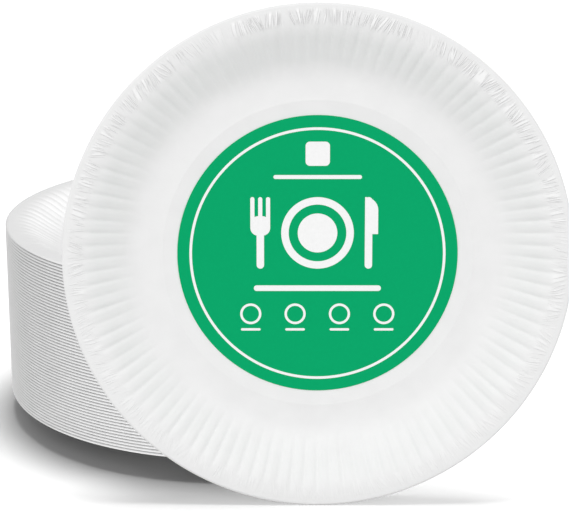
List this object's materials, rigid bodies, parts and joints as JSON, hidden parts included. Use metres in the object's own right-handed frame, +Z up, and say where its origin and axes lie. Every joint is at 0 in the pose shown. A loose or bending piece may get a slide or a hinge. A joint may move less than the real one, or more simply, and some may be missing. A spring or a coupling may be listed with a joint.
{
  "type": "stack of paper plates",
  "caption": "Stack of round white fluted paper plates with one more plate leaning on it, which shows its bowl and a round green label.",
  "frame": {"origin": "on the stack's axis, at the underside of the lowest plate's base", "axes": "+Z up along the stack's axis, -Y towards the leaning plate, +X to the right as seen from its front"},
  "size_m": [0.272, 0.2537, 0.2288],
  "materials": {
    "board": "coated white paperboard, satin",
    "label_paper": "printed green paper, satin",
    "print_white": "white printing ink, satin"
  },
  "bodies": {
    "root": {"plate_01": "board", "plate_02": "board", "plate_03": "board", "plate_04": "board", "plate_05": "board", "plate_06": "board", "plate_07": "board", "plate_08": "board", "plate_09": "board", "plate_10": "board", "plate_11": "board", "plate_12": "board", "plate_13": "board", "plate_14": "board", "plate_15": "board", "plate_16": "board", "plate_17": "board", "plate_18": "board", "plate_19": "board", "plate_20": "board", "plate_21": "board", "plate_22": "board", "plate_23": "board", "plate_24": "board", "plate_25": "board", "plate_26": "board", "plate_27": "board", "plate_28": "board", "plate_29": "board", "plate_30": "board", "plate_31": "board", "plate_32": "board", "plate_33": "board", "plate_34": "board", "plate_35": "board", "plate_36": "board", "plate_37": "board", "plate_38": "board", "plate_39": "board", "plate_40": "board", "plate_41": "board", "plate_42": "board", "plate_43": "board", "plate_44": "board", "plate_45": "board", "plate_46": "board", "plate_47": "board", "plate_48": "board", "plate_49": "board", "plate_50": "board", "plate_51": "board", "plate_52": "board", "plate_53": "board", "plate_54": "board", "plate_55": "board", "plate_56": "board", "plate_57": "board", "leaning_plate": "board", "label": "label_paper", "label_print": "print_white"}
  },
  "joints": []
}
